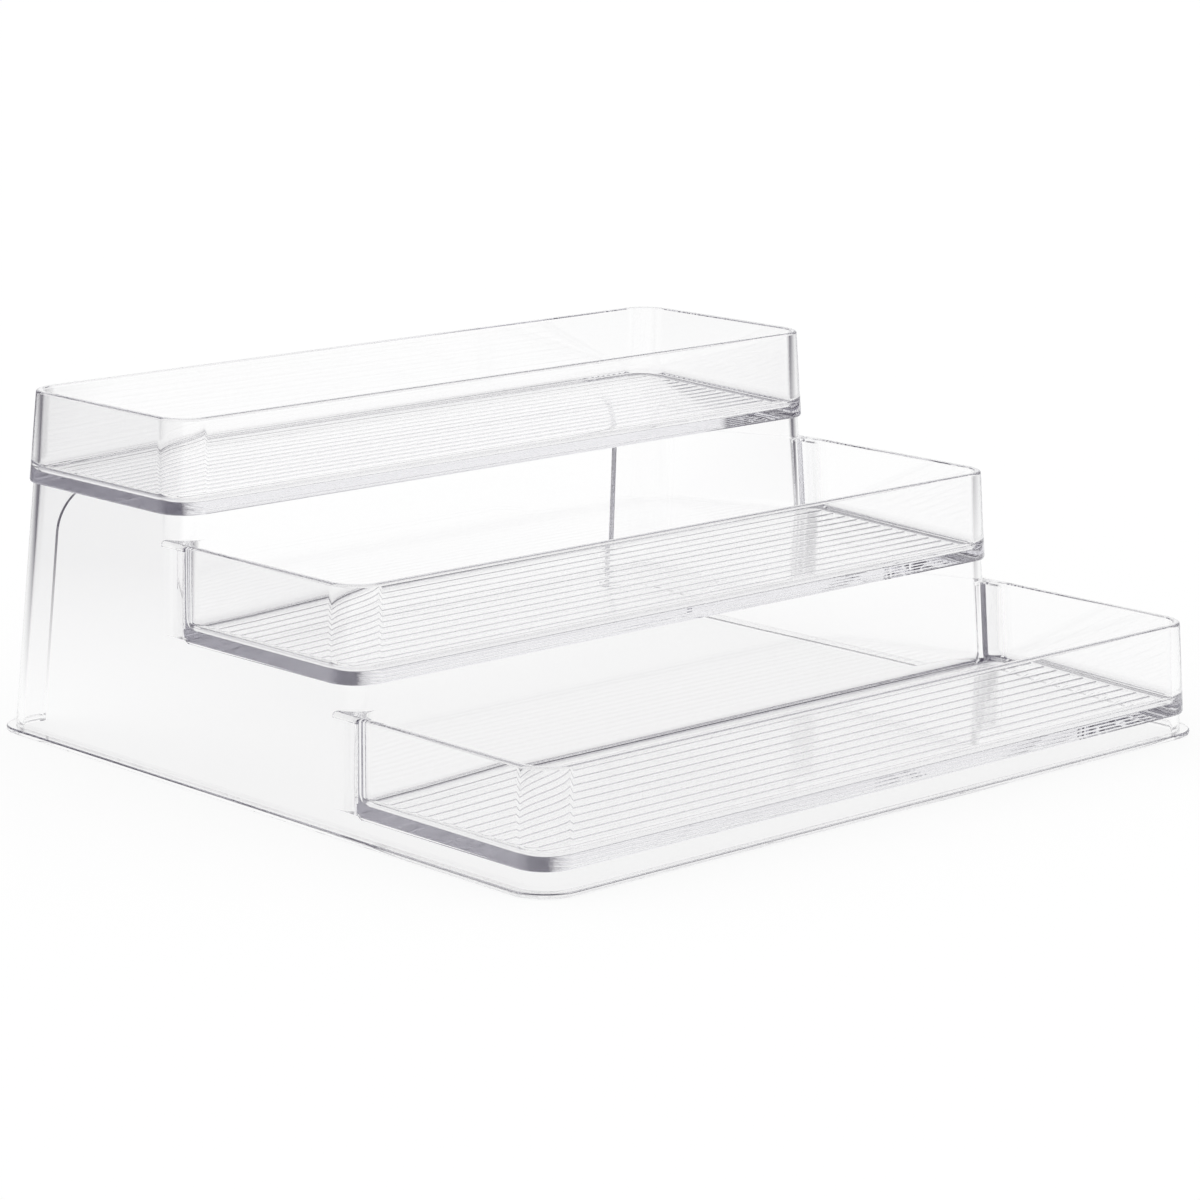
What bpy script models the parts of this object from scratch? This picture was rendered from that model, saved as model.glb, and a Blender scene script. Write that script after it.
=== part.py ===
"""Three-tier organizer in clear plastic, for a shelf or a cupboard.

Three ribbed trays step down towards the front on one hollow body that is open
underneath. Metres, +Z up. X runs along the trays, the front is at -Y, and the
origin is the middle of the footprint, on the surface that the object stands on.

Each piece is first modelled upright, on the outline that it has at table level.
A mould's draft then leans all of them together, so that neighbours keep their
seats. The real object is one moulding: its walls, floors and corner ledges are
separate pieces here, and a fine seam parts each from the next.
"""

import math

import bmesh
import bpy
from mathutils import Matrix, Vector

OBJECT_NAME = "tiered_organizer"

# Overall sizes
BASE_LENGTH = 0.254
TIER_RUN = 0.0758
TIER_RISE = 0.0333
TOP_RIM_DEPTH = 0.0735
BOTTOM_CLEARANCE = 0.007

# Trays
TRAY_HEIGHT = 0.0258
TRAY_CORNER = 0.01
FLOOR = 0.0026
FLOOR_FILLET = 0.003
REAR_FILLET = 0.004
RIB_PITCH = 0.00495
RIB_WIDTH = 0.0022
RIB_HEIGHT = 0.0005
RIB_ROUND = 0.0004
RIB_MARGIN = 0.0012
RIM_ROUND = 0.0005

# Body
WALL = 0.0022
BODY_INSET = 0.001
BODY_CORNER = 0.0093
CORNER_RETURN = 0.001
RISER_ROUND = 0.002
LEDGE = 0.0017
REAR_STRIP = 0.0144
REAR_RAIL = 0.0038
CUTOUT_CORNER = 0.013
BEAD_REACH = 0.0027
BEAD_HEIGHT = 0.0014
BEAD_ROUND = 0.0005

# Mould and modelling
SIDE_DRAFT = math.radians(2.9)
FRONT_DRAFT = math.radians(2.5)
REAR_DRAFT = math.radians(5.7)
SEAM = 0.0003
LAP = 0.0001
OVERRUN = 0.0005
MATCH = 0.000001
CORNER_STEPS = 8
FILLET_STEPS = 4
ROUND_STEPS = 2
PARALLEL_SHARE = 0.99
SMOOTH_ANGLE = math.radians(35.0)

# Clear plastic
PLASTIC_COLOUR = (0.93, 0.93, 0.96, 1.0)
PLASTIC_ROUGHNESS = 0.05
PLASTIC_METALLIC = 0.0
PLASTIC_IOR = 1.57
PLASTIC_TRANSMISSION = 1.0

BOTTOM, MIDDLE, TOP = 0, 1, 2
LEFT, RIGHT = -1, 1

# Outlines at table level, worked out from the sizes above
SIDE_SLOPE = math.tan(SIDE_DRAFT)
FRONT_SLOPE = math.tan(FRONT_DRAFT)
REAR_SLOPE = math.tan(REAR_DRAFT)
BODY_HALF = BASE_LENGTH / 2 - BEAD_REACH
TRAY_HALF = BODY_HALF + BODY_INSET
TIER_STEP = TIER_RUN - FRONT_SLOPE * TIER_RISE
TOP_RIM_LEVEL = BOTTOM_CLEARANCE + TRAY_HEIGHT + TOP * TIER_RISE
TOP_TRAY_DEPTH = TOP_RIM_DEPTH + (FRONT_SLOPE + REAR_SLOPE) * TOP_RIM_LEVEL
BODY_DEPTH = TOP * TIER_STEP + TOP_TRAY_DEPTH - 2 * BODY_INSET
BODY_FRONT = -BODY_DEPTH / 2
BODY_REAR = BODY_DEPTH / 2
TRAY_REAR = BODY_REAR + BODY_INSET
CORNER_TURN = BODY_CORNER + CORNER_RETURN


def underside(tier):
    """Height of a tray's underside."""
    return BOTTOM_CLEARANCE + tier * TIER_RISE


def rim(tier):
    """Height of a tray's rim."""
    return underside(tier) + TRAY_HEIGHT


def body_front(tier):
    """Outer face of the upright wall below a tray's front."""
    return BODY_FRONT + tier * TIER_STEP


def tray_front(tier):
    """Outer face of a tray's front wall, which stands proud of the body."""
    return body_front(tier) - BODY_INSET


def tray_back(tier):
    """Rear end of a tray: its own wall at the top, the next riser elsewhere."""
    return TRAY_REAR if tier == TOP else body_front(tier + 1) - SEAM


def clear_scene():
    """Remove what a new file holds."""
    for item in list(bpy.data.objects):
        bpy.data.objects.remove(item, do_unlink=True)


def block(left, right, front, back, low, high):
    """Add a box between six faces."""
    bpy.ops.mesh.primitive_cube_add(location=((left + right) / 2, (front + back) / 2, (low + high) / 2))
    piece = bpy.context.object
    piece.scale = ((right - left) / 2, (back - front) / 2, (high - low) / 2)
    bpy.ops.object.transform_apply(location=True, rotation=True, scale=True)
    return piece


def side_plate(outline, left, right):
    """Extrude an outline of (y, z) points between two values of x."""
    curve = bpy.data.curves.new("outline", "CURVE")
    curve.dimensions = "2D"
    curve.fill_mode = "BOTH"
    curve.extrude = (right - left) / 2
    spline = curve.splines.new("POLY")
    spline.points.add(len(outline) - 1)
    for point, (y, z) in zip(spline.points, outline):
        point.co = (y, z, 0.0, 1.0)
    spline.use_cyclic_u = True
    guide = bpy.data.objects.new("outline", curve)
    bpy.context.collection.objects.link(guide)
    # The curve's X, Y and Z become the object's Y, Z and X.
    turn = Matrix(((0, 0, 1), (1, 0, 0), (0, 1, 0))).to_4x4()
    guide.matrix_world = Matrix.Translation(((left + right) / 2, 0, 0)) @ turn
    bpy.context.view_layer.update()
    mesh = bpy.data.meshes.new_from_object(guide.evaluated_get(bpy.context.evaluated_depsgraph_get()))
    mesh.transform(guide.matrix_world)
    bpy.data.objects.remove(guide, do_unlink=True)
    shape = bmesh.new()
    shape.from_mesh(mesh)
    bmesh.ops.remove_doubles(shape, verts=shape.verts, dist=MATCH)
    bmesh.ops.recalc_face_normals(shape, faces=shape.faces)
    shape.to_mesh(mesh)
    shape.free()
    piece = bpy.data.objects.new("plate", mesh)
    bpy.context.collection.objects.link(piece)
    return piece


def round_edges(piece, radius, steps, wanted):
    """Round the edges for which wanted(direction, middle) is true."""
    shape = bmesh.new()
    shape.from_mesh(piece.data)
    chosen = []
    for edge in shape.edges:
        start, end = (corner.co for corner in edge.verts)
        if wanted((end - start).normalized(), (start + end) / 2):
            chosen.append(edge)
    bmesh.ops.bevel(shape, geom=chosen, offset=radius, segments=steps, profile=0.5, affect="EDGES")
    shape.to_mesh(piece.data)
    shape.free()


def along(direction, axis):
    """Whether an edge runs along an axis, given by its index."""
    return abs(direction[axis]) > PARALLEL_SHARE


def round_front_uprights(piece, radius):
    """Round the upright edges at the front."""
    middle = sum(corner[1] for corner in piece.bound_box) / len(piece.bound_box)
    round_edges(piece, radius, CORNER_STEPS, lambda way, at: along(way, 2) and at.y < middle)


def round_rear_uprights(piece, radius):
    """Round the upright edges at the back."""
    middle = sum(corner[1] for corner in piece.bound_box) / len(piece.bound_box)
    round_edges(piece, radius, CORNER_STEPS, lambda way, at: along(way, 2) and at.y > middle)


def combine(piece, other, operation):
    """Join or cut a piece with another, which is used up."""
    boolean = piece.modifiers.new(operation.title(), "BOOLEAN")
    boolean.operation = operation
    boolean.solver = "EXACT"
    boolean.object = other
    bpy.context.view_layer.update()
    result = bpy.data.meshes.new_from_object(piece.evaluated_get(bpy.context.evaluated_depsgraph_get()))
    piece.modifiers.clear()
    piece.data = result
    bpy.data.objects.remove(other, do_unlink=True)
    return piece


def lean(y):
    """Slope of the upright faces at a place: back at the risers, forward at the rear wall."""
    start = body_front(TOP) + CORNER_TURN
    end = BODY_REAR - CORNER_TURN
    rear_share = min(max((y - start) / (end - start), 0.0), 1.0)
    return FRONT_SLOPE * (1.0 - rear_share) - REAR_SLOPE * rear_share


def add_draft(piece):
    """Lean the upright faces inwards with height, as a mould needs."""
    for corner in piece.data.vertices:
        x, y, z = corner.co
        corner.co = (x * (1.0 - SIDE_SLOPE * z / TRAY_HALF), y + lean(y) * z, z)


def clear_plastic(name):
    """Make a piece's own clear plastic."""
    material = bpy.data.materials.new(name)
    material.use_nodes = True
    shader = material.node_tree.nodes["Principled BSDF"]
    shader.inputs["Base Color"].default_value = PLASTIC_COLOUR
    shader.inputs["Roughness"].default_value = PLASTIC_ROUGHNESS
    shader.inputs["Metallic"].default_value = PLASTIC_METALLIC
    shader.inputs["IOR"].default_value = PLASTIC_IOR
    shader.inputs["Transmission Weight"].default_value = PLASTIC_TRANSMISSION
    return material


def finish(piece, name, parts, stand):
    """Draft, name, colour and shade a piece, and put its origin under it."""
    add_draft(piece)
    corners = [Vector(corner.co) for corner in piece.data.vertices]
    middle = sum(corners, Vector()) / len(corners)
    seat = Vector((middle.x, middle.y, min(corner.z for corner in corners)))
    piece.data.transform(Matrix.Translation(-seat))
    piece.location = seat
    piece.parent = stand
    piece.name = name
    piece.data.name = name
    piece.data.materials.clear()
    piece.data.materials.append(clear_plastic(name + "_plastic"))
    piece.data.shade_smooth()
    piece.data.set_sharp_from_angle(angle=SMOOTH_ANGLE)
    for collection in list(piece.users_collection):
        collection.objects.unlink(piece)
    parts.objects.link(piece)


def tray_cavity(tier):
    """The space inside a tray, with its rounded corners and floor fillet."""
    half = TRAY_HALF - WALL
    front = tray_front(tier) + WALL
    back = TRAY_REAR - WALL if tier == TOP else tray_back(tier) + OVERRUN
    floor = underside(tier) + FLOOR
    cavity = block(-half, half, front, back, floor, rim(tier) + OVERRUN)
    inner_corner = TRAY_CORNER - WALL
    round_front_uprights(cavity, inner_corner)
    round_rear_uprights(cavity, inner_corner if tier == TOP else REAR_FILLET)
    round_edges(cavity, FLOOR_FILLET, FILLET_STEPS, lambda way, at: at.z < floor + MATCH)
    return cavity


def floor_ribs(tier):
    """Low ridges along a tray's floor, one bar repeated from front to back."""
    half = TRAY_HALF - WALL - FLOOR_FILLET - RIB_MARGIN
    floor = underside(tier) + FLOOR
    first = tray_front(tier) + WALL + FLOOR_FILLET + RIB_MARGIN
    last = (TRAY_REAR - WALL if tier == TOP else tray_back(tier)) - FLOOR_FILLET - RIB_MARGIN
    gaps = math.floor((last - first - RIB_WIDTH) / RIB_PITCH)
    start = (first + last - gaps * RIB_PITCH - RIB_WIDTH) / 2
    top = floor + RIB_HEIGHT
    bar = block(-half, half, start, start + RIB_WIDTH, floor - FLOOR / 2, top)
    round_edges(bar, RIB_ROUND, ROUND_STEPS, lambda way, at: along(way, 0) and at.z > top - MATCH)
    rows = bar.modifiers.new("Rows", "ARRAY")
    rows.use_relative_offset = False
    rows.use_constant_offset = True
    rows.constant_offset_displace = (0.0, RIB_PITCH, 0.0)
    rows.count = gaps + 1
    return bar


def build_tray(tier):
    """A tray with rounded corners; the risers close the two lower ones behind."""
    tray = block(-TRAY_HALF, TRAY_HALF, tray_front(tier), tray_back(tier), underside(tier), rim(tier))
    round_front_uprights(tray, TRAY_CORNER)
    if tier == TOP:
        round_rear_uprights(tray, TRAY_CORNER)
    combine(tray, tray_cavity(tier), "DIFFERENCE")
    brim = rim(tier) - MATCH
    end = math.inf if tier == TOP else tray_back(tier) - MATCH
    round_edges(tray, RIM_ROUND, ROUND_STEPS, lambda way, at: at.z > brim and at.y < end)
    return combine(tray, floor_ribs(tier), "UNION")


def corner_wall(front, back, low, high, rounding):
    """A wall with a short return at each end, round corners and even thickness."""
    wall = block(-BODY_HALF, BODY_HALF, front, back, low, high)
    rounding(wall, BODY_CORNER)
    inner_front = front + WALL if rounding is round_front_uprights else front - OVERRUN
    inner_back = back + OVERRUN if rounding is round_front_uprights else back - WALL
    inner_half = BODY_HALF - WALL
    cavity = block(-inner_half, inner_half, inner_front, inner_back, low - OVERRUN, high + OVERRUN)
    rounding(cavity, BODY_CORNER - WALL)
    return combine(wall, cavity, "DIFFERENCE")


def build_riser(tier):
    """The wall between a tray's front and the floor of the tray below it.

    Above the lower tray's rim it turns the corners; below, it is a flat back.
    """
    front = body_front(tier)
    ledge_under = rim(tier - 1) - LEDGE
    half = BODY_HALF - WALL - SEAM
    riser = block(-half, half, front, front + WALL, underside(tier - 1), ledge_under)
    heel = underside(tier - 1) + MATCH
    round_edges(riser, RISER_ROUND, FILLET_STEPS, lambda way, at: at.z < heel and at.y > front + WALL - MATCH)
    brow = corner_wall(front, front + CORNER_TURN, ledge_under - LAP, underside(tier) - SEAM, round_front_uprights)
    return combine(riser, brow, "UNION")


def build_skirt():
    """The low wall under the bottom tray's front."""
    low = BEAD_HEIGHT + SEAM
    high = underside(BOTTOM) - SEAM
    return corner_wall(BODY_FRONT, BODY_FRONT + CORNER_TURN, low, high, round_front_uprights)


def build_rear_frame():
    """The rear wall: a rail and two legs round a large rounded cut-out."""
    low = BEAD_HEIGHT + SEAM
    high = underside(TOP) - SEAM
    frame = corner_wall(BODY_REAR - CORNER_TURN, BODY_REAR, low, high, round_rear_uprights)
    return combine(frame, rear_opening(), "DIFFERENCE")


def rear_opening():
    """The cut-out in the rear wall, open at the bottom."""
    half = BODY_HALF - REAR_STRIP
    top = underside(TOP) - REAR_RAIL
    front = BODY_REAR - WALL - OVERRUN
    back = BODY_REAR + BEAD_REACH + OVERRUN
    opening = block(-half, half, front, back, -OVERRUN, top)
    round_edges(opening, CUTOUT_CORNER, CORNER_STEPS, lambda way, at: along(way, 1) and at.z > top - MATCH)
    return opening


def build_foot_bead():
    """The flared rim that the walls stand on, open across the rear cut-out."""
    half = BODY_HALF + BEAD_REACH
    bead = block(-half, half, BODY_FRONT - BEAD_REACH, BODY_REAR + BEAD_REACH, 0.0, BEAD_HEIGHT)
    round_front_uprights(bead, BODY_CORNER + BEAD_REACH)
    round_rear_uprights(bead, BODY_CORNER + BEAD_REACH)
    round_edges(bead, BEAD_ROUND, ROUND_STEPS, lambda way, at: not along(way, 2))
    inner = BODY_HALF - WALL
    hollow = block(-inner, inner, BODY_FRONT + WALL, BODY_REAR - WALL, -OVERRUN, BEAD_HEIGHT + OVERRUN)
    round_front_uprights(hollow, BODY_CORNER - WALL)
    round_rear_uprights(hollow, BODY_CORNER - WALL)
    combine(bead, hollow, "DIFFERENCE")
    return combine(bead, rear_opening(), "DIFFERENCE")


def side_outline():
    """The stepped outline of a side wall, as (y, z) points."""
    turn = CORNER_TURN + SEAM
    low = BEAD_HEIGHT + SEAM
    outline = [(BODY_FRONT + turn, low), (BODY_FRONT + turn, underside(BOTTOM) - SEAM)]
    for tier in (MIDDLE, TOP):
        face = body_front(tier)
        shoulder = rim(tier - 1) - LEDGE - LAP - SEAM
        outline.append((face, underside(tier - 1) - SEAM))
        outline.append((face, shoulder))
        outline.append((face + turn, shoulder))
        outline.append((face + turn, underside(tier) - SEAM))
    outline.append((BODY_REAR - turn, underside(TOP) - SEAM))
    outline.append((BODY_REAR - turn, low))
    return outline


def build_side(side):
    """A stepped side wall between the risers, the skirt and the rear frame."""
    outer = side * BODY_HALF
    inner = side * (BODY_HALF - WALL)
    return side_plate(side_outline(), min(outer, inner), max(outer, inner))


def build_ledge(tier, side):
    """The corner ledge at a tray's rim, outside the riser's round corner."""
    face = body_front(tier + 1)
    outer = side * TRAY_HALF
    inner = side * (BODY_HALF - BODY_CORNER)
    high = rim(tier)
    ledge = block(min(outer, inner), max(outer, inner), face, face + BODY_CORNER, high - LEDGE, high)
    edge = TRAY_HALF - MATCH
    round_edges(ledge, RIM_ROUND, ROUND_STEPS, lambda way, at: abs(at.x) > edge and at.z > high - MATCH)
    half = BODY_HALF + SEAM
    back = face + BODY_CORNER + OVERRUN
    corner = block(-half, half, face - SEAM, back, high - LEDGE - OVERRUN, high + OVERRUN)
    round_front_uprights(corner, BODY_CORNER + SEAM)
    return combine(ledge, corner, "DIFFERENCE")


def main():
    clear_scene()
    parts = bpy.data.collections.new(OBJECT_NAME)
    bpy.context.scene.collection.children.link(parts)
    stand = bpy.data.objects.new("stand", None)
    parts.objects.link(stand)
    pieces = {
        "bottom_tray": build_tray(BOTTOM),
        "middle_tray": build_tray(MIDDLE),
        "top_tray": build_tray(TOP),
        "lower_riser": build_riser(MIDDLE),
        "upper_riser": build_riser(TOP),
        "front_skirt": build_skirt(),
        "rear_frame": build_rear_frame(),
        "foot_bead": build_foot_bead(),
        "left_side": build_side(LEFT),
        "right_side": build_side(RIGHT),
        "lower_left_ledge": build_ledge(BOTTOM, LEFT),
        "lower_right_ledge": build_ledge(BOTTOM, RIGHT),
        "upper_left_ledge": build_ledge(MIDDLE, LEFT),
        "upper_right_ledge": build_ledge(MIDDLE, RIGHT),
    }
    for name, piece in pieces.items():
        finish(piece, name, parts, stand)


main()
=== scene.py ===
"""Dresses the stepped clear organizer and sets it on a white studio floor.

The organizer is one moulding in clear plastic. Its trays, hollow body, corner
ledges and foot rim are modelled one by one and fused here, so that light runs
through the walls and floors without a seam. Metres, +Z up, the front at -Y.
"""

import logging
import math
from collections.abc import Callable
from dataclasses import dataclass, field
from enum import Enum

import bpy
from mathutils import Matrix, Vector


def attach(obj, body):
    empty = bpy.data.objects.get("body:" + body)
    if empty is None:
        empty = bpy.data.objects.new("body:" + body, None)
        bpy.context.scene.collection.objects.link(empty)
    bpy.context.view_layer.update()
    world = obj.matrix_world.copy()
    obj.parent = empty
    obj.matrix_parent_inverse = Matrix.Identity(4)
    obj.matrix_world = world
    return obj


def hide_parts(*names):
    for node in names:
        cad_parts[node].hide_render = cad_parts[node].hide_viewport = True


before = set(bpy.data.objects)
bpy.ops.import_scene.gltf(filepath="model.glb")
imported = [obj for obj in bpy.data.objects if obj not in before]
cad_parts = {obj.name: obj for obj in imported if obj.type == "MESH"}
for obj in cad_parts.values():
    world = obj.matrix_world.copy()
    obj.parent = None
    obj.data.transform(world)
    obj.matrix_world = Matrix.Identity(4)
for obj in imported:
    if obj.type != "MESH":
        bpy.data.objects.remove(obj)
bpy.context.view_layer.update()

LOG = logging.getLogger("stepped_organizer")
MATCH = 0.00001
MERGE_WITHIN = 0.000001
PARALLEL_SHARE = 0.99
SHARP_FROM = math.radians(10.0)
FLAT_WITHIN = math.radians(0.01)
LIGHT_BOUNCES = 128
WHITE = (1.0, 1.0, 1.0, 1.0)


class Level(Enum):
    """The steps, from the front one up."""

    BOTTOM = 0
    MIDDLE = 1
    TOP = 2


class Side(Enum):
    """The two ends of the organizer."""

    LEFT = -1
    RIGHT = 1


class Fuse(Enum):
    """What a Boolean does with the second solid."""

    JOIN = "UNION"
    CUT = "DIFFERENCE"


# Modelling


def use(piece: bpy.types.Object) -> None:
    """Make a piece the only one selected, and the active one.

    Args:
        piece: The object that the next operator works on.
    """
    bpy.ops.object.select_all(action="DESELECT")
    piece.select_set(True)
    bpy.context.view_layer.objects.active = piece


def add_block(
    name: str, x: tuple[float, float], y: tuple[float, float], z: tuple[float, float]
) -> bpy.types.Object:
    """Add a box between pairs of faces.

    Args:
        name: The object's name.
        x: The left and right faces.
        y: The front and back faces.
        z: The lower and upper faces.

    Returns:
        The box, at the origin, with its place in its mesh.
    """
    bpy.ops.object.select_all(action="DESELECT")
    bpy.ops.mesh.primitive_cube_add(
        size=1.0,
        location=(sum(x) / 2, sum(y) / 2, sum(z) / 2),
        scale=(x[1] - x[0], y[1] - y[0], z[1] - z[0]),
    )
    bpy.ops.object.transform_apply(location=True, rotation=True, scale=True)
    block = bpy.context.object
    block.name = name
    # Faces that are meant to lie in one plane get the very same coordinates.
    for vertex in block.data.vertices:
        vertex.co = [pair[place > sum(pair) / 2] for pair, place in zip((x, y, z), vertex.co)]
    return block


def round_edges(
    piece: bpy.types.Object, radius: float, segments: int, wanted: Callable[[Vector, Vector], bool]
) -> int:
    """Round the sharp edges that a test picks.

    Args:
        piece: The solid.
        radius: The radius of the round.
        segments: How many facets it gets.
        wanted: Takes an edge's direction and middle, and is true for an edge to round.

    Returns:
        The number of edges that were picked.
    """
    use(piece)
    bpy.ops.object.mode_set(mode="EDIT")
    bpy.ops.mesh.select_mode(type="EDGE")
    bpy.ops.mesh.select_all(action="DESELECT")
    bpy.ops.mesh.edges_select_sharp(sharpness=SHARP_FROM)
    bpy.ops.object.mode_set(mode="OBJECT")
    mesh = piece.data
    sharp = {edge.index for edge in mesh.edges if edge.select}
    bpy.ops.object.mode_set(mode="EDIT")
    bpy.ops.mesh.select_all(action="DESELECT")
    bpy.ops.object.mode_set(mode="OBJECT")
    count = 0
    for edge in mesh.edges:
        start, end = (mesh.vertices[index].co for index in edge.vertices)
        edge.select = edge.index in sharp and wanted((end - start).normalized(), (start + end) / 2)
        count += edge.select
    bpy.ops.object.mode_set(mode="EDIT")
    bpy.ops.mesh.bevel(
        offset=radius, segments=segments, profile=0.5, affect="EDGES", clamp_overlap=False
    )
    bpy.ops.object.mode_set(mode="OBJECT")
    return count


def upright(way: Vector) -> bool:
    """Whether an edge runs along Z."""
    return abs(way.z) > PARALLEL_SHARE


def fuse(piece: bpy.types.Object, other: bpy.types.Object, how: Fuse) -> None:
    """Join or cut a solid with another, which is used up.

    Args:
        piece: The solid that is kept.
        other: The solid that joins or cuts it.
        how: Whether it joins or cuts.
    """
    boolean = piece.modifiers.new(how.name.title(), "BOOLEAN")
    boolean.operation = how.value
    boolean.solver = "EXACT"
    boolean.object = other
    use(piece)
    bpy.ops.object.modifier_apply(modifier=boolean.name)
    bpy.data.objects.remove(other, do_unlink=True)


@dataclass(frozen=True)
class Layout:
    """Sizes that the sub-assemblies share, upright at table level."""

    base_length: float = 0.254
    tier_run: float = 0.0758
    tier_rise: float = 0.0333
    top_rim_depth: float = 0.074
    clearance: float = 0.0062
    tray_height: float = 0.0265
    floor: float = 0.0029
    wall: float = 0.0022
    inset: float = 0.001
    ledge: float = 0.0017
    bead_reach: float = 0.0027
    corner_turn: float = 0.0102
    side_draft: float = math.radians(3.1)
    front_draft: float = math.radians(2.3)
    rear_draft: float = math.radians(5.5)
    inner_draft: float = math.radians(1.4)
    heel_inset: float = 0.003

    @property
    def body_half(self) -> float:
        """Half the body's length."""
        return self.base_length / 2 - self.bead_reach

    @property
    def tray_half(self) -> float:
        """Half a tray's length."""
        return self.body_half + self.inset

    @property
    def tier_step(self) -> float:
        """Distance from one step's front to the next."""
        return self.tier_run - math.tan(self.front_draft) * self.tier_rise

    @property
    def body_rear(self) -> float:
        """Outer face of the rear wall."""
        spread = (math.tan(self.front_draft) + math.tan(self.rear_draft)) * self.rim(Level.TOP)
        top_depth = self.top_rim_depth + spread
        return (Level.TOP.value * self.tier_step + top_depth) / 2 - self.inset

    def underside(self, level: Level) -> float:
        """Height of a tray's underside."""
        return self.clearance + level.value * self.tier_rise

    def rim(self, level: Level) -> float:
        """Height of a tray's rim."""
        return self.underside(level) + self.tray_height

    def body_front(self, level: Level) -> float:
        """Outer face of the wall below a tray's front."""
        return level.value * self.tier_step - self.body_rear

    def tray_front(self, level: Level) -> float:
        """Outer face of a tray's front wall."""
        return self.body_front(level) - self.inset

    def riser(self, level: Level) -> float:
        """Front face of the riser that closes a tray behind."""
        return self.body_front(Level(level.value + 1))

    def lean(self, y: float) -> float:
        """Slope of the upright faces at a place, back at the front and forward at the rear.

        Args:
            y: The place, at table level.

        Returns:
            The distance along Y that a face moves for each metre of height.
        """
        start = self.body_front(Level.TOP) + self.corner_turn
        end = self.body_rear - self.corner_turn
        rear = min(max((y - start) / (end - start), 0.0), 1.0)
        return math.tan(self.front_draft) * (1.0 - rear) - math.tan(self.rear_draft) * rear


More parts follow.
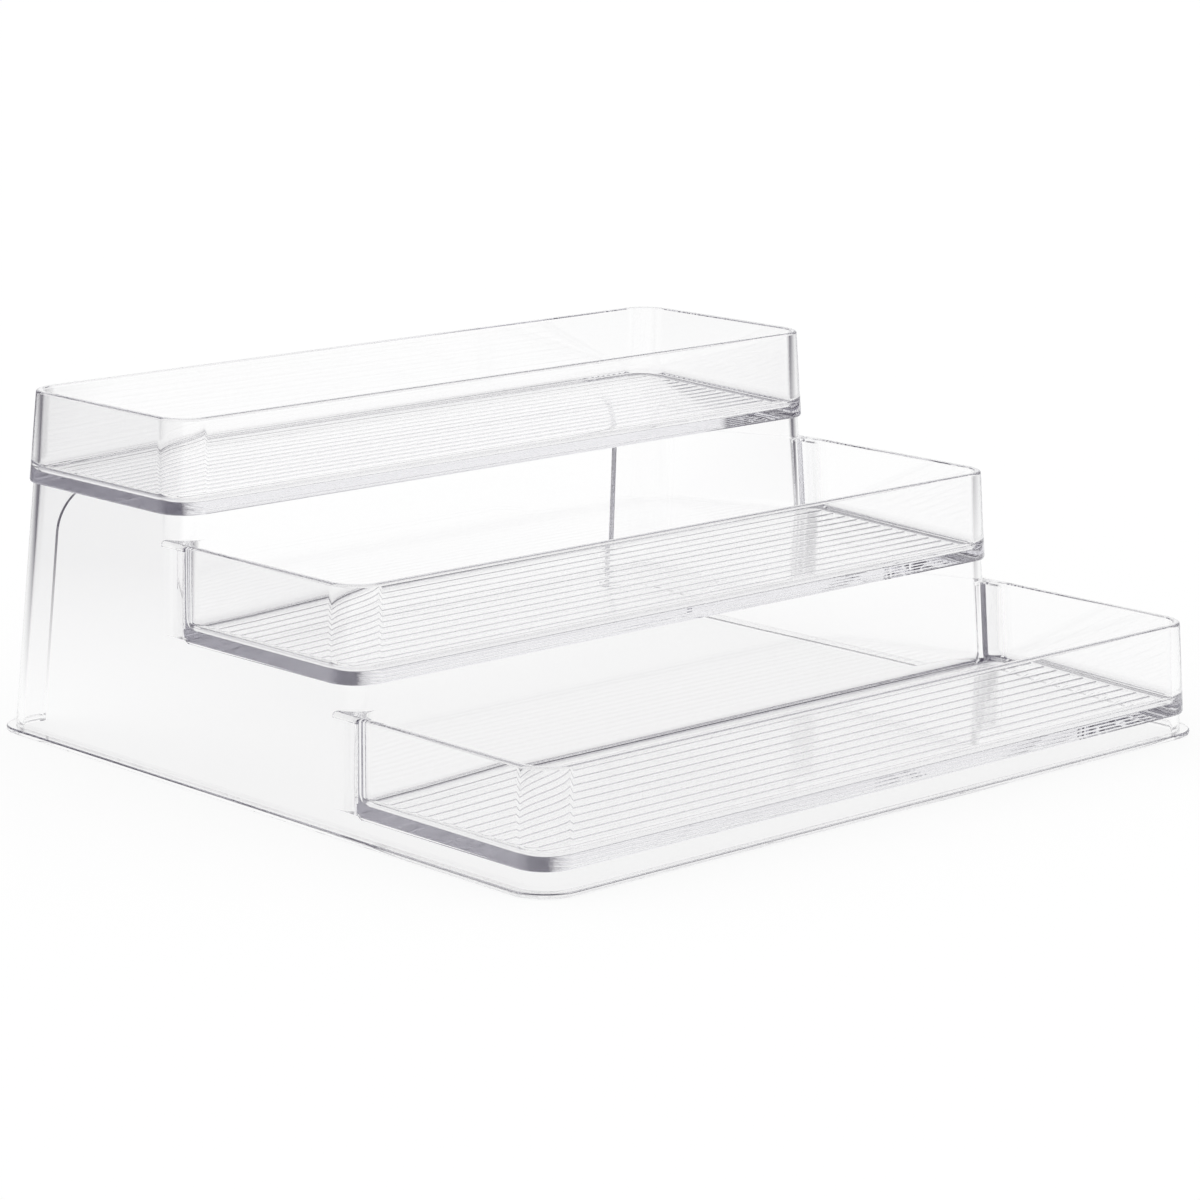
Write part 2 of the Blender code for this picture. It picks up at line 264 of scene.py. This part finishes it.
@dataclass
class Tray:
    """One step's tray, with its ribbed floor."""

    layout: Layout
    level: Level
    corner: float = 0.01
    corner_segments: int = 16
    floor_fillet: float = 0.003
    rear_corner: float = 0.006
    fillet_segments: int = 6
    rib_pitch: float = 0.00495
    rib_width: float = 0.0022
    rib_height: float = 0.0003
    rib_round: float = 0.00025
    rib_margin: float = 0.0012
    rib_segments: int = 3
    edge_round: float = 0.0008
    floor_edge_segments: int = 2
    rim_segments: int = 3
    heel_round: float = 0.0025
    overrun: float = 0.0005

    @property
    def closed(self) -> bool:
        """Whether the tray has a rear wall of its own."""
        return self.level is Level.TOP

    @property
    def back(self) -> float:
        """Rear face of the tray at table level."""
        layout = self.layout
        return layout.body_rear + layout.inset if self.closed else layout.riser(self.level)

    def outside(self) -> bpy.types.Object:
        """Build the tray's outer form as a full block.

        Returns:
            The block, with round corners.
        """
        layout = self.layout
        low, high = layout.underside(self.level), layout.rim(self.level)
        half = layout.tray_half
        closed = self.closed
        front = layout.tray_front(self.level)
        back = self.back - (0.0 if closed else layout.heel_inset)
        name = f"{self.level.name.lower()}_tray"
        block = add_block(name, (-half, half), (front, back), (low, high))
        middle = (front + back) / 2
        round_edges(
            block, self.corner, self.corner_segments,
            lambda way, at: upright(way) and (closed or at.y < middle),
        )
        heel_front = back
        if not closed:
            heel_front = back - self.heel_round
            round_edges(
                block, self.heel_round, self.fillet_segments,
                lambda way, at: at.z < low + MATCH and at.y > back - MATCH,
            )
        round_edges(
            block, self.edge_round, self.floor_edge_segments,
            lambda way, at: at.z < low + MATCH and (closed or at.y < heel_front - MATCH),
        )
        if not closed:
            narrow = layout.body_half
            y = (heel_front - self.overrun, self.back + self.overrun)
            fuse(block, add_block("bridge", (-narrow, narrow), y, (low, high)), Fuse.JOIN)
        return block

    def inside(self) -> bpy.types.Object:
        """Build the space in the tray.

        Returns:
            The solid that is cut out, with its corners and floor rounded.
        """
        layout = self.layout
        floor = layout.underside(self.level) + layout.floor
        rim = layout.rim(self.level)
        half = layout.tray_half - layout.wall
        front = layout.tray_front(self.level) + layout.wall
        back = self.back - (layout.wall if self.closed else 0.0)
        space = add_block("space", (-half, half), (front, back), (floor, rim + self.overrun))
        middle = (front + back) / 2
        corner = self.corner - layout.wall
        round_edges(
            space, corner, self.corner_segments, lambda way, at: upright(way) and at.y < middle
        )
        rear = corner if self.closed else self.rear_corner
        round_edges(
            space, rear, self.corner_segments, lambda way, at: upright(way) and at.y > middle
        )
        round_edges(
            space, self.floor_fillet, self.fillet_segments, lambda way, at: at.z < floor + MATCH
        )
        # A lower tray's rear face lies in the riser's, so it keeps its place.
        fixed = middle if self.closed else back
        for vertex in space.data.vertices:
            x, y, z = vertex.co
            depth = math.tan(layout.inner_draft) * (rim - z)
            vertex.co = (x * (1.0 - depth / half), y + depth * (fixed - y) / (fixed - front), z)
        return space

    def ribs(self) -> bpy.types.Object:
        """Build the low ridges on the floor.

        Returns:
            One object that holds every ridge, sunk a little into the floor.
        """
        layout = self.layout
        taper = math.tan(layout.inner_draft) * (layout.tray_height - layout.floor)
        inset = self.floor_fillet + self.rib_margin + taper
        half = layout.tray_half - layout.wall - inset
        first = layout.tray_front(self.level) + layout.wall + inset
        last = self.back - (layout.wall if self.closed else 0.0) - inset
        gaps = math.floor((last - first - self.rib_width) / self.rib_pitch)
        start = (first + last - gaps * self.rib_pitch - self.rib_width) / 2
        floor = layout.underside(self.level) + layout.floor
        top = floor + self.rib_height
        y = (start, start + self.rib_width)
        bar = add_block("ribs", (-half, half), y, (floor - layout.floor / 2, top))
        round_edges(
            bar, self.rib_round, self.rib_segments,
            lambda way, at: abs(way.x) > PARALLEL_SHARE and at.z > top - MATCH,
        )
        rows = bar.modifiers.new("Rows", "ARRAY")
        rows.use_relative_offset = False
        rows.use_constant_offset = True
        rows.constant_offset_displace = (0.0, self.rib_pitch, 0.0)
        rows.count = gaps + 1
        use(bar)
        bpy.ops.object.modifier_apply(modifier=rows.name)
        return bar


@dataclass
class HollowBody:
    """The stepped body under the trays, open below and behind."""

    layout: Layout
    corner: float = 0.0092
    corner_segments: int = 16
    hollow_fillet: float = 0.007
    heel_round: float = 0.002
    heel_segments: int = 6
    bead_height: float = 0.0014
    bead_round: float = 0.0005
    bead_segments: int = 3
    strip: float = 0.0144
    rail: float = 0.0038
    cut_out_corner: float = 0.013
    ledge_inset: float = 0.002
    sunk: float = 0.001
    overrun: float = 0.002

    def stack(self, name: str, inset: float, low: float, rise: float) -> bpy.types.Object:
        """Build the stepped form, as outer body or as hollow.

        Args:
            name: The object's name.
            inset: How far its faces lie inside the body's.
            low: Its lowest face.
            rise: How far each step reaches above a tray's underside.

        Returns:
            The stepped solid.
        """
        layout = self.layout
        half = layout.body_half - inset
        corner = self.corner - inset
        nose = self.corner + self.sunk
        rear = layout.body_rear - inset
        high = layout.underside(Level.BOTTOM) + rise
        front = layout.body_front(Level.BOTTOM) + inset
        back = layout.riser(Level.BOTTOM) + nose
        form = add_block(name, (-half, half), (front, back), (low, high))
        round_edges(
            form, corner, self.corner_segments,
            lambda way, at: upright(way) and at.y < front + MATCH,
        )
        for level in (Level.MIDDLE, Level.TOP):
            below = Level(level.value - 1)
            face = layout.body_front(level)
            shelf = layout.rim(below) - layout.ledge + rise / 2
            high = layout.underside(level) + rise
            back = rear if level is Level.TOP else layout.riser(level) + nose
            front = face + inset
            y = (front, face + nose + self.sunk)
            lower = add_block("lower", (-half, half), y, (low, shelf))
            if inset:
                round_edges(
                    lower, self.hollow_fillet, self.corner_segments,
                    lambda way, at: upright(way) and at.y < front + MATCH,
                )
            upper = add_block("upper", (-half, half), y, (shelf - self.sunk, high))
            round_edges(
                upper, corner, self.corner_segments,
                lambda way, at: upright(way) and at.y < front + MATCH,
            )
            main_part = add_block("main", (-half, half), (face + nose, back), (low, high))
            if level is Level.TOP:
                round_edges(
                    main_part, corner, self.corner_segments,
                    lambda way, at: upright(way) and at.y > rear - MATCH,
                )
            for part in (main_part, lower, upper):
                fuse(form, part, Fuse.JOIN)
        return form

    def ledge(self, level: Level, side: Side) -> bpy.types.Object:
        """Build a corner ledge at a tray's rim.

        Args:
            level: The tray.
            side: The end of the tray.

        Returns:
            The ledge as a full block, sunk into its neighbours.
        """
        layout = self.layout
        face = layout.riser(level)
        high = layout.rim(level)
        ends = (layout.tray_half, layout.body_half - self.corner)
        x = sorted(side.value * end for end in ends)
        y = (face - layout.heel_inset - self.sunk, face + self.corner - self.ledge_inset)
        return add_block("ledge", tuple(x), y, (high - layout.ledge, high))

    def foot_rim(self) -> bpy.types.Object:
        """Build the flared rim at the foot.

        Returns:
            The rim as a full plate.
        """
        layout = self.layout
        half = layout.body_half + layout.bead_reach
        rear = layout.body_rear + layout.bead_reach
        rim = add_block("foot_rim", (-half, half), (-rear, rear), (0.0, self.bead_height))
        corner = self.corner + layout.bead_reach
        round_edges(rim, corner, self.corner_segments, lambda way, at: upright(way))
        round_edges(rim, self.bead_round, self.bead_segments, lambda way, at: not upright(way))
        return rim

    def cut_out(self) -> bpy.types.Object:
        """Build the opening in the rear wall.

        Returns:
            The solid that is cut out.
        """
        layout = self.layout
        half = layout.body_half - self.strip
        top = layout.underside(Level.TOP) - self.rail
        y = (-layout.wall - self.overrun, layout.bead_reach + self.overrun)
        y = tuple(layout.body_rear + place for place in y)
        opening = add_block("cut_out", (-half, half), y, (-self.overrun, top))
        round_edges(
            opening, self.cut_out_corner, self.corner_segments,
            lambda way, at: abs(way.y) > PARALLEL_SHARE and at.z > top - MATCH,
        )
        return opening


# Finishes


class Value:
    """A shader socket that takes part in Python sums."""

    def __init__(self, nodes: "NodeSet", socket: bpy.types.NodeSocket) -> None:
        """Keep the socket and the node set that it belongs to."""
        self.nodes = nodes
        self.socket = socket

    def _math(self, operation: str, first: object, second: object) -> "Value":
        """Add a Math node for two values.

        Args:
            operation: The Math node's operation.
            first: A number or a Value.
            second: A number or a Value.

        Returns:
            The result as a Value.
        """
        inputs = {0: first, 1: second}
        node = self.nodes.add("ShaderNodeMath", {"operation": operation}, inputs)
        return Value(self.nodes, node.outputs[0])

    def __add__(self, other: object) -> "Value":
        """self + other."""
        return self._math("ADD", self, other)

    __radd__ = __add__

    def __sub__(self, other: object) -> "Value":
        """self - other."""
        return self._math("SUBTRACT", self, other)

    def __rsub__(self, other: object) -> "Value":
        """other - self."""
        return self._math("SUBTRACT", other, self)

    def __mul__(self, other: object) -> "Value":
        """self * other."""
        return self._math("MULTIPLY", self, other)

    __rmul__ = __mul__

    def limited(self) -> "Value":
        """The value held between 0 and 1."""
        return self._math("MINIMUM", self._math("MAXIMUM", self, 0.0), 1.0)

    def ramp(self, start: float, end: float) -> "Value":
        """The value's rise from 0 to 1 between two limits."""
        return ((self - start) * (1.0 / (end - start))).limited()


class NodeSet:
    """The nodes of one material or world."""

    def __init__(self, owner: bpy.types.ID) -> None:
        """Start with an empty tree.

        Args:
            owner: The material or world.
        """
        owner.use_nodes = True
        self.tree = owner.node_tree
        self.tree.nodes.clear()

    def add(
        self, kind: str, settings: dict[str, object], inputs: dict[object, object]
    ) -> bpy.types.Node:
        """Add a node.

        Args:
            kind: The node's type.
            settings: Its own settings, which are set first.
            inputs: Values, sockets or Values for its input sockets, by name or index.

        Returns:
            The node.
        """
        node = self.tree.nodes.new(kind)
        for name, value in settings.items():
            setattr(node, name, value)
        for key, value in inputs.items():
            if isinstance(value, Value):
                value = value.socket
            if isinstance(value, bpy.types.NodeSocket):
                self.tree.links.new(value, node.inputs[key])
            else:
                node.inputs[key].default_value = value
        return node

    def value(self, node: bpy.types.Node, output: str) -> Value:
        """A node's output as a Value."""
        return Value(self, node.outputs[output])

    def path(self, kind: str) -> Value:
        """Whether a light path is of a kind, 1 for yes."""
        return self.value(self.add("ShaderNodeLightPath", {}, {}), kind)

    def seen(self) -> Value:
        """Whether the camera looks straight, by a reflection or through the plastic."""
        bent = self.path("Is Glossy Ray") + self.path("Is Transmission Ray")
        return (self.path("Is Camera Ray") + bent).limited()

    def along(self, place: bpy.types.NodeSocket, way: tuple[float, float, float]) -> Value:
        """How far a place lies along a way."""
        inputs = {0: place, 1: way}
        return self.value(
            self.add("ShaderNodeVectorMath", {"operation": "DOT_PRODUCT"}, inputs), "Value"
        )

    def mix(self, share: Value, first: object, second: object) -> bpy.types.NodeSocket:
        """Mix two colours.

        Args:
            share: The second colour's share.
            first: A colour or a colour socket.
            second: A colour or a colour socket.

        Returns:
            The mixed colour's socket.
        """
        # These are the Mix node's factor and its two colours, by index.
        inputs = {0: share, 6: first, 7: second}
        return self.add("ShaderNodeMix", {"data_type": "RGBA"}, inputs).outputs[2]


@dataclass(frozen=True)
class ClearPlastic:
    """Clear crystal plastic, which greys over a long way through it."""

    name: str = "clear_plastic"
    colour: tuple[float, float, float] = (1.0, 1.0, 1.0)
    roughness: float = 0.0
    ior: float = 1.57
    stain: tuple[float, float, float] = (0.03, 0.0, 0.17)
    stain_density: float = 2.0
    wave_scale: float = 45.0
    wave_detail: float = 1.0
    wave_roughness: float = 0.4
    wave_strength: float = 0.02
    wave_depth: float = 0.0004

    def material(self) -> bpy.types.Material:
        """Make the material.

        Returns:
            The material, with its body colour as an absorbing volume.
        """
        made = bpy.data.materials.new(self.name)
        nodes = NodeSet(made)
        place = nodes.add("ShaderNodeTexCoord", {}, {})
        flow = nodes.add(
            "ShaderNodeTexNoise", {},
            {
                "Vector": place.outputs["Object"],
                "Scale": self.wave_scale,
                "Detail": self.wave_detail,
                "Roughness": self.wave_roughness,
            },
        )
        bump = nodes.add(
            "ShaderNodeBump", {},
            {
                "Height": flow.outputs["Fac"],
                "Strength": self.wave_strength,
                "Distance": self.wave_depth,
            },
        )
        shader = nodes.add(
            "ShaderNodeBsdfPrincipled", {},
            {
                "Base Color": (*self.colour, 1.0),
                "Roughness": self.roughness,
                "IOR": self.ior,
                "Transmission Weight": 1.0,
                "Normal": bump.outputs["Normal"],
            },
        )
        stain = nodes.add(
            "ShaderNodeVolumeAbsorption", {},
            {"Color": (*self.stain, 1.0), "Density": self.stain_density},
        )
        nodes.add(
            "ShaderNodeOutputMaterial", {},
            {"Surface": shader.outputs["BSDF"], "Volume": stain.outputs["Volume"]},
        )
        return made


@dataclass
class Moulding:
    """The whole organizer as one closed solid in clear plastic."""

    layout: Layout
    finish: ClearPlastic
    name: str = "clear_moulding"
    smooth_angle: float = math.radians(30.0)
    body: HollowBody = field(init=False)
    trays: list[Tray] = field(init=False)

    def __post_init__(self) -> None:
        """Plan the sub-assemblies."""
        self.body = HollowBody(self.layout)
        self.trays = [Tray(self.layout, level) for level in Level]

    def build(self) -> bpy.types.Object:
        """Model the solid: full forms are joined first, then hollowed.

        Returns:
            The moulding, still upright.
        """
        solid = self.body.stack(self.name, 0.0, 0.0, self.body.sunk)
        fuse(solid, self.body.foot_rim(), Fuse.JOIN)
        for tray in self.trays:
            fuse(solid, tray.outside(), Fuse.JOIN)
        for level in (Level.BOTTOM, Level.MIDDLE):
            for side in Side:
                fuse(solid, self.body.ledge(level, side), Fuse.JOIN)
        for tray in self.trays:
            fuse(solid, tray.inside(), Fuse.CUT)
        hollow = self.body.stack("hollow", self.layout.wall, -self.body.overrun, 0.0)
        fuse(solid, hollow, Fuse.CUT)
        fuse(solid, self.body.cut_out(), Fuse.CUT)
        self.soften(solid)
        for tray in self.trays:
            fuse(solid, tray.ribs(), Fuse.JOIN)
        return solid

    def soften(self, solid: bpy.types.Object) -> None:
        """Round the rims and the heels behind the lower trays.

        Args:
            solid: The hollowed solid.
        """
        layout = self.layout
        # Seams that the Booleans left in flat faces go first, or the rounds would follow them.
        use(solid)
        bpy.ops.object.mode_set(mode="EDIT")
        bpy.ops.mesh.select_all(action="SELECT")
        bpy.ops.mesh.remove_doubles(threshold=MERGE_WITHIN)
        bpy.ops.mesh.dissolve_limited(angle_limit=FLAT_WITHIN)
        bpy.ops.object.mode_set(mode="OBJECT")
        for tray in self.trays:
            rim = layout.rim(tray.level)
            inner_end = math.inf if tray.closed else tray.back - tray.rear_corner
            ledge_end = tray.back + self.body.corner - self.body.ledge_inset
            count = round_edges(
                solid, tray.edge_round, tray.rim_segments,
                lambda way, at: abs(at.z - rim) < MATCH and (
                    at.y < inner_end - MATCH
                    or abs(at.x) > layout.tray_half - MATCH
                    or abs(at.y - ledge_end) < MATCH
                ),
            )
            LOG.info("rim edges rounded: %d", count)
        for level in (Level.BOTTOM, Level.MIDDLE):
            heel_y, heel_z = layout.riser(level) + layout.wall, layout.underside(level)
            count = round_edges(
                solid, self.body.heel_round, self.body.heel_segments,
                lambda way, at: abs(at.y - heel_y) < MATCH and abs(at.z - heel_z) < MATCH,
            )
            LOG.info("heel edges rounded: %d", count)

    def draft(self, solid: bpy.types.Object) -> None:
        """Lean the upright faces inwards, as a mould needs.

        Args:
            solid: The upright solid.
        """
        layout = self.layout
        slope = math.tan(layout.side_draft)
        for vertex in solid.data.vertices:
            x, y, z = vertex.co
            vertex.co = (x * (1.0 - slope * z / layout.tray_half), y + layout.lean(y) * z, z)

    def dress(self, solid: bpy.types.Object) -> None:
        """Shade the solid, give it its finish and tie it to the frame.

        Args:
            solid: The drafted solid.
        """
        use(solid)
        bpy.ops.object.mode_set(mode="EDIT")
        bpy.ops.mesh.select_all(action="SELECT")
        bpy.ops.mesh.remove_doubles(threshold=MERGE_WITHIN)
        bpy.ops.mesh.normals_make_consistent(inside=False)
        bpy.ops.object.mode_set(mode="OBJECT")
        bpy.ops.object.shade_smooth_by_angle(angle=self.smooth_angle, keep_sharp_edges=True)
        even = solid.modifiers.new("Even", "WEIGHTED_NORMAL")
        even.mode = "FACE_AREA"
        even.keep_sharp = True
        bpy.ops.object.modifier_apply(modifier=even.name)
        solid.data.materials.clear()
        solid.data.materials.append(self.finish.material())
        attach(solid, "root")
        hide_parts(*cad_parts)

    def make(self) -> bpy.types.Object:
        """Build, lean and dress the moulding.

        Returns:
            The finished piece.
        """
        solid = self.build()
        self.draft(solid)
        self.dress(solid)
        return solid


# Stage


@dataclass
class Studio:
    """A white sweep whose colour holds painted dark flags, left, right and overhead, and a painted
    bright gap on the right, where a soft light would be mirrored.

    The painted flags and the bright gap are seen only by reflection and through the plastic, where
    they paint dark edges and a soft-light reflection into it. Straight on, the floor and the sky
    are white.
    """

    floor_radius: float = 20.0
    floor_sides: int = 64
    floor_drop: float = 0.0001
    floor_colour: tuple[float, float, float] = (0.96, 0.96, 0.96)
    light_level: float = 1.08
    shadow_share: float = 0.12
    heading: float = math.radians(42.4)
    # Painted shade: the colour of the dark flags painted into the floor and sky, seen only by
    # reflection and through the plastic.
    painted_flag_colour: tuple[float, float, float] = (0.06, 0.05, 0.08)
    # Where the painted flags and the painted bright gap (a mirrored soft light) begin and are
    # full, in the sky, overhead and on the floor.
    sky_painted_flag: tuple[float, float] = (0.42, 0.66)
    sky_painted_light_gap: tuple[float, float] = (0.0, 0.25)
    overhead: tuple[float, float] = (0.45, 0.7)
    floor_painted_flag: tuple[float, float] = (0.2, 0.5)
    floor_painted_light_gap: tuple[float, float] = (0.03, 0.12)

    @property
    def ahead(self) -> tuple[float, float, float]:
        """The way the sweep runs."""
        return (math.sin(self.heading), math.cos(self.heading), 0.0)

    @property
    def across(self) -> tuple[float, float, float]:
        """The way to the right of the sweep."""
        return (math.cos(self.heading), -math.sin(self.heading), 0.0)

    def backdrop(
        self,
        nodes: NodeSet,
        place: bpy.types.NodeSocket,
        flag: tuple[float, float],
        soft: tuple[float, float],
    ) -> bpy.types.NodeSocket:
        """Paint dark flags and a bright gap into the surroundings that the plastic bends and
        mirrors, as painted shade and painted reflection.

        Args:
            nodes: The node set of the floor or the world.
            place: A place on the floor, or a way into the sky.
            flag: How far across the painted side flags begin, and are full.
            soft: How far ahead the painted bright gap on the right ends, and the painted right
                flag is full.

        Returns:
            The colour: white on the sweep and in the painted bright gap, painted dark on the
                flags.
        """
        across = nodes.along(place, self.across)
        left = (-1.0 * across).ramp(*flag)
        right = across.ramp(*flag)
        beside = nodes.along(place, self.ahead).ramp(*soft)
        high = nodes.value(nodes.add("ShaderNodeSeparateXYZ", {}, {"Vector": place}), "Z")
        above = high.ramp(*self.overhead)
        # Painted shade: the dark flags, mixed in only for reflection and transmission rays; camera
        # rays see white.
        dark = (left + right * beside + above).limited()
        painted_reflection = nodes.mix(dark, WHITE, (*self.painted_flag_colour, 1.0))
        return nodes.mix(nodes.path("Is Camera Ray"), painted_reflection, WHITE)

    def floor(self) -> bpy.types.Object:
        """Lay the floor.

        Returns:
            The floor.
        """
        bpy.ops.object.select_all(action="DESELECT")
        bpy.ops.mesh.primitive_circle_add(
            vertices=self.floor_sides, radius=self.floor_radius, fill_type="NGON",
            location=(0.0, 0.0, -self.floor_drop),
        )
        floor = bpy.context.object
        floor.name = "studio_floor"
        made = bpy.data.materials.new(floor.name)
        nodes = NodeSet(made)
        place = nodes.add("ShaderNodeTexCoord", {}, {})
        paint = nodes.add("ShaderNodeBsdfDiffuse", {}, {"Color": (*self.floor_colour, 1.0)})
        # The floor's colour carries painted dark flags and a painted bright gap, seen only by
        # reflection and through the plastic.
        colour = self.backdrop(
            nodes, place.outputs["Object"], self.floor_painted_flag, self.floor_painted_light_gap
        )
        shown = nodes.add("ShaderNodeEmission", {}, {"Color": colour})
        share = nodes.seen() * (1.0 - self.shadow_share)
        both = nodes.add(
            "ShaderNodeMixShader", {},
            {0: share, 1: paint.outputs["BSDF"], 2: shown.outputs["Emission"]},
        )
        nodes.add("ShaderNodeOutputMaterial", {}, {"Surface": both.outputs[0]})
        floor.data.materials.append(made)
        return floor

    def sky(self) -> None:
        """Light the set evenly from all round, and show painted dark flags to reflections and
        refraction.
        """
        world = bpy.data.worlds.new("studio_sky")
        bpy.context.scene.world = world
        world.cycles.sampling_method = "NONE"
        nodes = NodeSet(world)
        place = nodes.add("ShaderNodeTexCoord", {}, {})
        # Painted shade: the sky's dark flags and bright gap, seen only by reflection and through
        # the plastic.
        colour = self.backdrop(
            nodes, place.outputs["Generated"], self.sky_painted_flag, self.sky_painted_light_gap
        )
        shown = nodes.add("ShaderNodeBackground", {}, {"Color": colour})
        light = nodes.add(
            "ShaderNodeBackground", {}, {"Color": WHITE, "Strength": self.light_level}
        )
        both = nodes.add(
            "ShaderNodeMixShader", {},
            {0: nodes.seen(), 1: light.outputs["Background"], 2: shown.outputs["Background"]},
        )
        nodes.add("ShaderNodeOutputWorld", {}, {"Surface": both.outputs[0]})


@dataclass
class StillCamera:
    """The camera, at the picture's own viewing angle."""

    place: tuple[float, float, float] = (-0.75377, -0.83108, 0.28763)
    azimuth: float = math.radians(-42.256)
    elevation: float = math.radians(12.543)
    lens: float = 120.95
    sensor: float = 36.0

    def make(self) -> None:
        """Add the camera and make it the scene's."""
        bpy.ops.object.camera_add(location=self.place)
        camera = bpy.context.object
        camera.name = "still_camera"
        flat = math.cos(self.elevation)
        across, ahead = math.sin(self.azimuth) * flat, math.cos(self.azimuth) * flat
        back = Vector((across, -ahead, math.sin(self.elevation)))
        camera.rotation_mode = "QUATERNION"
        camera.rotation_quaternion = (-back).to_track_quat("-Z", "Y")
        camera.data.lens = self.lens
        camera.data.sensor_width = self.sensor
        bpy.context.scene.camera = camera


def main() -> None:
    """Build the organizer and its stage in order."""
    logging.basicConfig(level=logging.INFO, format="%(message)s")
    scene = bpy.context.scene
    scene.view_settings.view_transform = "Standard"
    # Light runs a long way inside the floors and walls, from face to face.
    scene.cycles.max_bounces = LIGHT_BOUNCES
    scene.cycles.transmission_bounces = LIGHT_BOUNCES
    scene.cycles.glossy_bounces = LIGHT_BOUNCES
    StillCamera().make()
    studio = Studio()
    LOG.info("stage: %s", studio.floor().name)
    studio.sky()
    piece = Moulding(Layout(), ClearPlastic()).make()
    LOG.info("piece: %s, %d faces", piece.name, len(piece.data.polygons))


if __name__ == "__main__":
    main()
